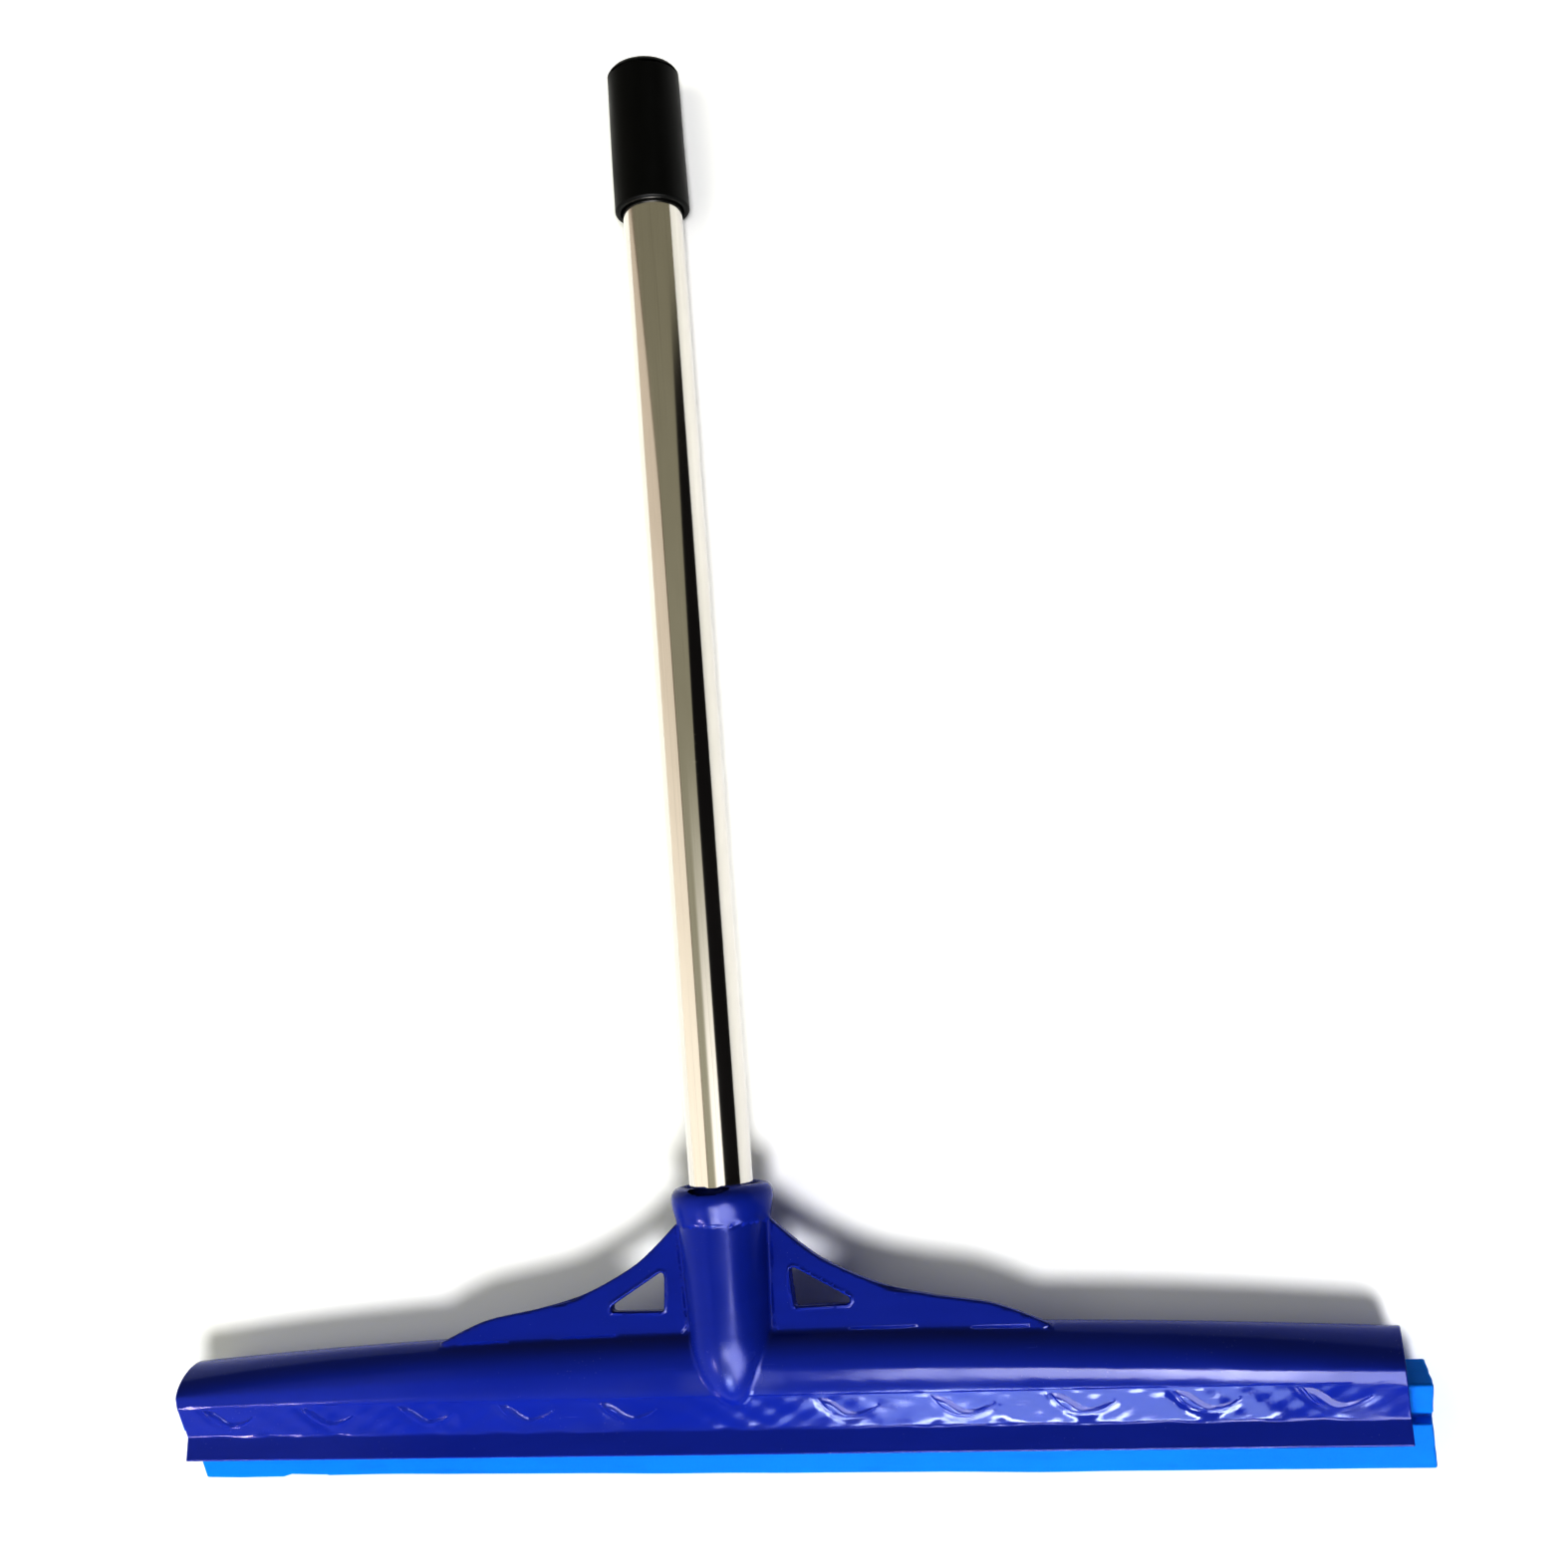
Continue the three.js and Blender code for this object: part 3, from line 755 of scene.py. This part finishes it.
def build_tube():
    """The thin-walled tube, a hair out of round, with the trace of its weld seam."""
    start = THREAD_SEAT + FLANGE_THICKNESS + 2 * GAP
    inner = TUBE_RADIUS - TUBE_WALL
    corners = [(inner, start, 0.2), (TUBE_RADIUS, start, 0.25)]
    corners += [(TUBE_RADIUS, place, 0) for place in np.linspace(start, TUBE_TOP, 60)[1:-1]]
    corners += [(TUBE_RADIUS, TUBE_TOP, 0.25), (inner, TUBE_TOP, 0.2)]

    def waver(angles, place, radius):
        seam = np.exp(-((angles - 4.9) / 0.05) ** 2) * 0.02
        return seam - 0.01 * np.sin(2 * angles + place / 90)

    tube = turned("tube", corners, 160, closed=True, waver=waver)
    return finish_piece(tube, "handle_tube", "handle")


def build_grip():
    """The cap over the tube's far end, with a slightly uneven skin."""
    bore = TUBE_RADIUS + GAP
    outer = [(GRIP_RADIUS_START, GRIP_START, 1.1)]
    for share in np.linspace(0, 1, 24)[1:-1]:
        radius = GRIP_RADIUS_START + (GRIP_RADIUS_END - GRIP_RADIUS_START) * share
        outer.append((radius, GRIP_START + (GRIP_END - GRIP_START) * share, 0))
    corners = [
        (0, TUBE_TOP + GAP, 0),
        (bore, TUBE_TOP + GAP, 0.4),
        (bore, GRIP_START + 2.2, 1.2),
        (GRIP_MOUTH, GRIP_START, 0.35),
        *outer,
        (GRIP_RADIUS_END, GRIP_END, GRIP_EDGE),
        (0, GRIP_END, 0),
    ]

    def waver(angles, place, radius):
        if radius < GRIP_MOUTH + 0.3:
            return 0
        return 0.05 * np.sin(3 * angles + place / 19) - 0.05 + 0.03 * np.sin(7 * angles - place / 8)

    grip = turned("grip", corners, 128, waver=waver)
    return finish_piece(grip, "handle_grip", "handle")


def build_ferrule():
    """The plug pressed into the tube, with the coarse thread that screws into the socket."""
    seat = THREAD_SEAT + GAP
    flange_end = seat + FLANGE_THICKNESS
    plug = TUBE_RADIUS - TUBE_WALL - GAP
    threads = [(FERRULE_ROOT, place, 0) for place in np.arange(THREAD_START + 1, seat - 0.4, 0.25)]
    hollow = THREAD_START + 8
    corners = [
        (0, THREAD_START, 0),
        (FERRULE_ROOT, THREAD_START, 0.5),
        *threads,
        (FERRULE_ROOT, seat, 0.3),
        (TUBE_RADIUS, seat, 0.5),
        (TUBE_RADIUS, flange_end, 0.5),
        (plug, flange_end, 0.2),
        (plug, flange_end + PLUG_LENGTH, 0.8),
        (FERRULE_CORE, flange_end + PLUG_LENGTH, 0.4),
        (FERRULE_CORE, hollow, 0.6),
        (0, hollow, 0),
    ]

    def waver(angles, place, radius):
        if abs(radius - FERRULE_ROOT) > 0.05:
            return 0
        phase = (place - THREAD_PITCH * angles / (2 * math.pi)) / THREAD_PITCH
        wave = np.clip(1.6 - 3 * np.abs(2 * (phase - np.floor(phase)) - 1), 0, 1)
        fade = np.clip((place - THREAD_START - 1) / 3, 0, 1) * np.clip((seat - 1.5 - place) / 3, 0, 1)
        return (FERRULE_CREST - FERRULE_ROOT) * wave * fade

    ferrule = turned("ferrule", corners, 96, waver=waver)
    return finish_piece(ferrule, "threaded_ferrule", "ferrule")


# ---- Materials ----

class Nodes:
    """Short ways to add nodes to the tree of a material or of the world."""

    def __init__(self, tree):
        self.tree = tree

    def node(self, kind, settings=None, **links):
        """A node with each input linked or set. An input is given by its name, or as i and its number."""
        made = self.tree.nodes.new(kind)
        for name, value in (settings or {}).items():
            setattr(made, name, value)
        for name, value in links.items():
            numbered = name[0] == "i" and name[1:].isdigit()
            socket = made.inputs[int(name[1:]) if numbered else name]
            if isinstance(value, bpy.types.NodeSocket):
                self.tree.links.new(value, socket)
            else:
                socket.default_value = value
        return made

    def maths(self, operation, a, b=0.5):
        return self.node("ShaderNodeMath", {"operation": operation}, i0=a, i1=b).outputs[0]

    def mix(self, share, a, b):
        return self.node("ShaderNodeMix", {"data_type": "RGBA"}, i0=share, i6=a, i7=b).outputs[2]


class Surface(Nodes):
    """A Principled material, with the noise and masks that its colour and bump are made of."""

    def __init__(self, name, to_row=None, **sockets):
        self.material = bpy.data.materials.new(name)
        self.material.use_nodes = True
        super().__init__(self.material.node_tree)
        self.shader = self.tree.nodes["Principled BSDF"]
        for socket, value in sockets.items():
            self.shader.inputs[socket.replace("_", " ")].default_value = value
        self.place = self.tree.nodes.new("ShaderNodeTexCoord").outputs["Object"]
        if to_row is not None:
            to_local = to_row.inverted()
            self.place = self.node("ShaderNodeMapping", Vector=self.place, Location=to_local.translation,
                                   Rotation=to_local.to_euler()).outputs[0]

    def stretched(self, scale):
        return self.node("ShaderNodeMapping", Vector=self.place, Scale=scale).outputs[0]

    def noise(self, scale, detail=3.0, rough=0.55, stretch=(1, 1, 1), twist=0.0):
        made = self.node("ShaderNodeTexNoise", Vector=self.stretched(stretch), Scale=scale, Detail=detail,
                         Roughness=rough, Distortion=twist)
        return made.outputs["Fac"]

    def spots(self, scale, size):
        """1 inside small round spots and 0 between them."""
        made = self.node("ShaderNodeTexVoronoi", Vector=self.stretched((1, 1, 1)), Scale=scale)
        return self.ramp(made.outputs["Distance"], size, size * 0.6)

    def ramp(self, value, start, end, low=0.0, high=1.0):
        """From low at start to high at end, and level beyond them."""
        made = self.node("ShaderNodeMapRange", Value=value, **{"From Min": start, "From Max": end,
                                                               "To Min": low, "To Max": high})
        return made.outputs[0]

    def bump(self, height, depth, onto=None):
        """A bump whose full height is depth, in metres."""
        links = {"Height": height, "Strength": 1.0, "Distance": depth}
        if onto is not None:
            links["Normal"] = onto
        return self.node("ShaderNodeBump", **links).outputs[0]

    def feed(self, socket, value):
        self.tree.links.new(value, self.shader.inputs[socket])

    def on(self, *pieces):
        for piece in pieces:
            piece.data.materials.clear()
            piece.data.materials.append(self.material)


def blue_plastic():
    """Glossy moulded polypropylene: faint flow waves, fine scratches, dust, and a duller socket."""
    s = Surface("royal_blue_polypropylene", HEAD_TO_ROW, Roughness=0.12, IOR=1.31)
    flow = s.noise(9, 3, 0.6, (0.6, 2, 2), 1.2)
    cloud = s.noise(40, 4)
    deep, bright = (0.007, 0.031, 0.34, 1), (0.011, 0.040, 0.40, 1)
    colour = s.mix(s.ramp(flow, 0.3, 0.7), deep, bright)
    scratch_a = s.ramp(s.noise(1, 2, 0.5, (40, 2600, 2600), 0.3), 0.70, 0.78)
    scratch_b = s.ramp(s.noise(1, 2, 0.5, (2400, 90, 1500), 0.6), 0.72, 0.80)
    scratches = s.maths("MAXIMUM", scratch_a, scratch_b)
    scratches = s.maths("MULTIPLY", scratches, s.ramp(s.noise(30, 2), 0.5, 0.65))
    dust = s.maths("MULTIPLY", s.spots(700, 0.09), s.ramp(s.noise(55, 2), 0.55, 0.62))
    colour = s.mix(s.maths("MULTIPLY", scratches, 0.35), colour, (0.1, 0.14, 0.6, 1))
    colour = s.mix(s.maths("MULTIPLY", dust, 0.5), colour, (0.35, 0.38, 0.6, 1))
    s.feed("Base Color", colour)
    rough = s.ramp(cloud, 0.35, 0.7, 0.09, 0.19)
    rough = s.maths("ADD", rough, s.maths("MULTIPLY", s.maths("MAXIMUM", scratches, dust), 0.25))
    parts = s.node("ShaderNodeSeparateXYZ", Vector=s.place).outputs
    barrel = s.ramp(s.maths("ABSOLUTE", parts["X"]), 0.014, 0.022, 0.09, 0.0)
    rough = s.maths("ADD", rough, s.maths("MULTIPLY", barrel, s.ramp(parts["Y"], 0.0145, 0.018)))
    s.feed("Roughness", rough)
    waves = s.bump(s.noise(60, 2, 0.5, (0.6, 1, 1), 0.6), 0.00018)
    grain = s.bump(s.noise(900, 2), 0.000012, waves)
    s.feed("Normal", s.bump(scratches, -0.00001, grain))
    return s


def blue_foam():
    """Closed-cell foam rubber with a fine skin, open pores on the cut faces darkened with painted shade,
    and smears from handling.
    """
    s = Surface("bright_blue_foam", HEAD_TO_ROW, Roughness=0.7, IOR=1.22, Specular_IOR_Level=0.2)
    cells = s.noise(1500, 2, 0.6)
    pores_and_shade = s.spots(1300, 0.16)
    blotch = s.noise(22, 4, 0.6, (0.5, 1, 1))
    colour = s.mix(s.ramp(blotch, 0.3, 0.7), (0.0, 0.245, 0.78, 1), (0.0, 0.28, 0.92, 1))
    # The pores are darkened: painted shade in their hollows, over the dents that the bump gives them.
    colour = s.mix(s.maths("MULTIPLY", pores_and_shade, 0.45), colour, (0.0, 0.1, 0.5, 1))
    smear = s.ramp(s.noise(1, 3, 0.5, (30, 260, 260), 0.5), 0.6, 0.75)
    colour = s.mix(s.maths("MULTIPLY", smear, 0.25), colour, (0.0, 0.13, 0.62, 1))
    s.feed("Base Color", colour)
    s.feed("Roughness", s.ramp(cells, 0.3, 0.7, 0.5, 0.72))
    fine = s.bump(cells, 0.00005)
    pitted = s.bump(pores_and_shade, -0.00006, fine)
    s.feed("Normal", s.bump(s.noise(160, 2), 0.00018, pitted))
    return s


def polished_steel():
    """Drawn and polished stainless tube: long draw lines, faint haze and a few rubbed scratches."""
    s = Surface("polished_stainless_tube", HANDLE_TO_ROW, Metallic=1.0, Roughness=0.1)
    draw = s.noise(1, 3, 0.6, (1900, 9, 1900))
    haze = s.noise(26, 4, 0.6, (1, 0.35, 1))
    scratches = s.ramp(s.noise(1, 2, 0.5, (260, 2600, 260), 0.4), 0.73, 0.79)
    scratches = s.maths("MULTIPLY", scratches, s.ramp(s.noise(24, 2), 0.52, 0.62))
    colour = s.mix(s.ramp(haze, 0.3, 0.7), (0.72, 0.70, 0.66, 1), (0.80, 0.78, 0.75, 1))
    colour = s.mix(s.maths("MULTIPLY", s.ramp(draw, 0.55, 0.75), 0.25), colour, (0.5, 0.47, 0.42, 1))
    s.feed("Base Color", colour)
    rough = s.maths("ADD", s.ramp(haze, 0.3, 0.75, 0.07, 0.14), s.maths("MULTIPLY", scratches, 0.15))
    s.feed("Roughness", rough)
    lined = s.bump(draw, 0.000004)
    s.feed("Normal", s.bump(scratches, -0.000008, lined))
    return s


def black_plastic():
    """Soft black grip cap: fine matt grain, pale rub marks and dust caught near the mouth."""
    s = Surface("black_grip_plastic", HANDLE_TO_ROW, Roughness=0.42, IOR=1.27)
    wear = s.ramp(s.noise(70, 4, 0.6, (1, 0.25, 1)), 0.5, 0.75)
    dust = s.maths("MULTIPLY", s.spots(900, 0.08), s.ramp(s.noise(60, 2), 0.5, 0.6))
    colour = s.mix(wear, (0.001, 0.0014, 0.0013, 1), (0.004, 0.0043, 0.0042, 1))
    colour = s.mix(s.maths("MULTIPLY", dust, 0.5), colour, (0.15, 0.15, 0.15, 1))
    s.feed("Base Color", colour)
    s.feed("Roughness", s.ramp(s.noise(120, 3, 0.6, (1, 0.3, 1)), 0.3, 0.7, 0.34, 0.5))
    grain = s.bump(s.noise(1400, 2), 0.00002)
    s.feed("Normal", s.bump(s.noise(1, 2, 0.5, (900, 25, 900)), 0.00003, grain))
    return s


def grey_plastic():
    """Plain moulded nylon of the screw plug, rubbed shiny along its threads."""
    s = Surface("grey_nylon_plug", HANDLE_TO_ROW, Roughness=0.5, IOR=1.53)
    cloud = s.noise(60, 4)
    colour = s.mix(s.ramp(cloud, 0.3, 0.7), (0.035, 0.036, 0.038, 1), (0.06, 0.06, 0.062, 1))
    rubbed = s.ramp(s.noise(1, 2, 0.5, (700, 60, 700)), 0.55, 0.7)
    s.feed("Base Color", s.mix(s.maths("MULTIPLY", rubbed, 0.3), colour, (0.16, 0.16, 0.16, 1)))
    s.feed("Roughness", s.ramp(rubbed, 0, 1, 0.55, 0.35))
    s.feed("Normal", s.bump(s.noise(1200, 2), 0.00003))
    return s


def white_floor():
    """Matt white, very slightly clouded."""
    s = Surface("white_floor", Roughness=0.55)
    cloud = s.ramp(s.noise(3, 3), 0.3, 0.7)
    s.feed("Base Color", s.mix(cloud, (0.89, 0.89, 0.895, 1), (0.92, 0.92, 0.92, 1)))
    return s


# ---- The object ----

head = build_head()
insert = build_insert()
tube = build_tube()
grip = build_grip()
ferrule = build_ferrule()
blue_plastic().on(head)
blue_foam().on(insert)
polished_steel().on(tube)
black_plastic().on(grip)
grey_plastic().on(ferrule)

# ---- The camera, at the photographed angle, in the handle's frame ----

CAMERA_PLACE = Vector((209.545, 103.896, 614.066)) * MM
CAMERA_RIGHT = Vector((0.95748, -0.07771, -0.27784)).normalized()
CAMERA_AHEAD = Vector((-0.26577, 0.1371, -0.95424)).normalized()
CAMERA_LENS = 40.563
CAMERA_SHIFT = (-0.00611, 0.00085)
CAMERA_CLIP = (0.01, 50)


def build_camera():
    camera = bpy.data.objects.new("camera", bpy.data.cameras.new("camera"))
    bpy.context.scene.collection.objects.link(camera)
    up = CAMERA_RIGHT.cross(CAMERA_AHEAD).normalized()
    turn = Matrix((CAMERA_RIGHT, up, -CAMERA_AHEAD)).transposed().to_4x4()
    camera.matrix_world = HANDLE_TO_ROW @ Matrix.Translation(CAMERA_PLACE) @ turn
    camera.data.sensor_width = 36
    camera.data.lens = CAMERA_LENS
    camera.data.shift_x, camera.data.shift_y = CAMERA_SHIFT
    camera.data.clip_start, camera.data.clip_end = CAMERA_CLIP
    bpy.context.scene.camera = camera


# ---- The studio ----

# In metres. The floor lies a hair below the object, so that the two never share a plane.
FLOOR_SIZE = 8.0
FLOOR_GAP = 0.0002

# Area lights on the object, with what sees them, direction, size in metres, radiance and tint. Each one is
# far away, so it stands for a stretch of a real room: a ceiling light, a window with its bright sill, and
# smaller lamps that mark the hood's crest and its left end.
OBJECT_LIGHTS = (
    ("overhead", "glossy", (0.33, -0.63, 0.72), (1.5, 2.12), 18, (1, 0.99, 0.98)),
    ("fill", "diffuse", (-0.1, -0.79, 0.61), (2.4, 1.2), 10.2, (0.97, 0.985, 1)),
    ("window", "glossy", (-0.1, -0.94, 0.325), (0.72, 0.5), 12, (0.8, 0.92, 1)),
    ("sill", "glossy", (-0.1, -0.875, 0.475), (0.66, 0.24), 60, (0.86, 0.95, 1)),
    ("crest", "glossy", (-0.08, -0.5, 0.87), (0.75, 0.5), 24, (0.97, 0.96, 1)),
    ("corner", "glossy", (-0.585, -0.61, 0.53), (0.16, 0.3), 75, (1, 0.86, 0.9)),
)

# What the glossy surfaces mirror, and the even light that the others get.
CEILING_NEAR = (0.59, 0.57, 0.46, 1)
CEILING_FAR = (0.38, 0.36, 0.27, 1)
WALL_NEAR = (1.4, 1.32, 1.17, 1)
WALL_FAR = (0.9, 0.8, 0.68, 1)
WALL_TRIM = (0.2, 0.13, 0.09, 1)
CEILING_PANEL = (1.5, 1.46, 1.38, 1)
NEAR_SIDE = (0.22, 0.24, 0.3, 1)
DARK_CLOTHES = (0.02, 0.018, 0.018, 1)
EVEN_LIGHT = (0.22, 0.22, 0.21, 1)
BACKDROP = (1, 1, 1, 1)


def build_floor():
    half = FLOOR_SIZE / 2
    corners = [(-half, -half, 0), (half, -half, 0), (half, half, 0), (-half, half, 0)]
    mesh = bpy.data.meshes.new("floor")
    mesh.from_pydata(corners, [], [(0, 1, 2, 3)])
    floor = bpy.data.objects.new("floor", mesh)
    floor.location.z = -FLOOR_GAP
    bpy.context.scene.collection.objects.link(floor)
    white_floor().on(floor)
    return floor


def lit_by(light, *receivers):
    """The light falls only on these objects."""
    group = bpy.data.collections.new(light.name + "_falls_on")
    for receiver in receivers:
        group.objects.link(receiver)
    light.light_linking.receiver_collection = group


def soft_light(name, direction, size, radiance, colour, receivers, distance=2.6):
    """A rectangular light that far from the object, in that direction, facing it."""
    data = bpy.data.lights.new(name, "AREA")
    data.shape = "RECTANGLE"
    data.size, data.size_y = size
    data.color = colour
    data.energy = radiance * math.pi * size[0] * size[1]
    light = bpy.data.objects.new(name, data)
    way = Vector(direction).normalized()
    light.location = way * distance
    light.rotation_mode = "QUATERNION"
    light.rotation_quaternion = (-way).to_track_quat("-Z", "Y")
    light.visible_camera = False
    bpy.context.scene.collection.objects.link(light)
    lit_by(light, *receivers)
    return light


def distant_light(name, direction, strength, angle, receiver):
    """A light from far away on one object only. The wider its angle, the softer its shadow edges."""
    data = bpy.data.lights.new(name, "SUN")
    data.energy = strength
    data.angle = angle
    light = bpy.data.objects.new(name, data)
    light.rotation_mode = "QUATERNION"
    light.rotation_quaternion = (-Vector(direction)).to_track_quat("-Z", "Y")
    bpy.context.scene.collection.objects.link(light)
    lit_by(light, receiver)


class Room(Nodes):
    """The world's nodes: what the glossy surfaces mirror, and a dim even light for everything else."""

    def __init__(self):
        world = bpy.data.worlds.new("room")
        bpy.context.scene.world = world
        world.use_nodes = True
        super().__init__(world.node_tree)
        self.background = self.tree.nodes["Background"]
        way = self.tree.nodes.new("ShaderNodeTexCoord").outputs["Generated"]
        self.x, self.y, _ = self.node("ShaderNodeSeparateXYZ", i0=way).outputs

    def step(self, value, start, end):
        """0 up to start and 1 from end, smoothly between them."""
        ends = {"From Min": start, "From Max": end}
        made = self.node("ShaderNodeMapRange", {"interpolation_type": "SMOOTHSTEP"}, Value=value, **ends)
        return made.outputs[0]

    def both(self, a, b):
        return self.maths("MULTIPLY", a, b)


def build_room():
    """A ceiling with a bright panel, a pale wall on the left, and someone dark standing on the right."""
    room = Room()
    ceiling = room.mix(room.step(room.y, -0.1, 0.5), CEILING_NEAR, CEILING_FAR)
    wall = room.mix(room.step(room.y, -0.15, 0.4), WALL_NEAR, WALL_FAR)

    # Past the object's far end the wall's edge falls away to the left.
    beyond = room.maths("MAXIMUM", room.maths("SUBTRACT", room.y, 0.33), 0.0)
    lean = room.maths("MULTIPLY", beyond, 3.2)
    leftwards = room.maths("SUBTRACT", room.maths("MULTIPLY", room.x, -1.0), lean)
    seen = room.mix(room.step(leftwards, 0.43, 0.45), ceiling, WALL_TRIM)
    seen = room.mix(room.step(leftwards, 0.46, 0.49), seen, wall)

    on_panel = room.both(room.step(room.x, -0.1, 0.1), room.step(room.y, 0.2, -0.05))
    seen = room.mix(on_panel, seen, CEILING_PANEL)
    near = room.both(room.step(room.y, -0.55, -0.75), room.step(room.x, -0.55, -0.42))
    seen = room.mix(near, seen, NEAR_SIDE)

    # The person's outline draws in from the shoulder towards the head.
    above = room.maths("MAXIMUM", room.maths("SUBTRACT", room.y, 0.17), 0.0)
    shoulder = room.maths("ADD", above, 0.5)
    person = room.step(room.maths("SUBTRACT", room.x, room.both(shoulder, shoulder)), 0.25, 0.31)
    person = room.both(person, room.step(room.y, 0.42, 0.36))
    seen = room.mix(person, seen, DARK_CLOTHES)

    ways = room.tree.nodes.new("ShaderNodeLightPath")
    colour = room.mix(ways.outputs["Is Glossy Ray"], EVEN_LIGHT, seen)
    colour = room.mix(ways.outputs["Is Camera Ray"], colour, BACKDROP)
    room.tree.links.new(colour, room.background.inputs["Color"])


build_camera()
floor = build_floor()
build_room()
pieces = (head, insert, tube, grip, ferrule)
for name, seen_by, direction, size, radiance, tint in OBJECT_LIGHTS:
    light = soft_light(name, direction, size, radiance, tint, pieces)
    light.visible_diffuse = seen_by == "diffuse"
    light.visible_glossy = seen_by == "glossy"
distant_light("floor_key", (0.3, -0.33, 0.9), 3.0, math.radians(18), floor)
soft_light("floor_fill", (-0.55, 0.25, 0.8), (1.0, 1.0), 1.9, (1, 1, 0.82), (floor,), distance=1.1)

# A hard view with deep blacks.
scene = bpy.context.scene
scene.view_settings.view_transform = "Standard"
scene.view_settings.look = "None"
scene.view_settings.gamma = 0.7
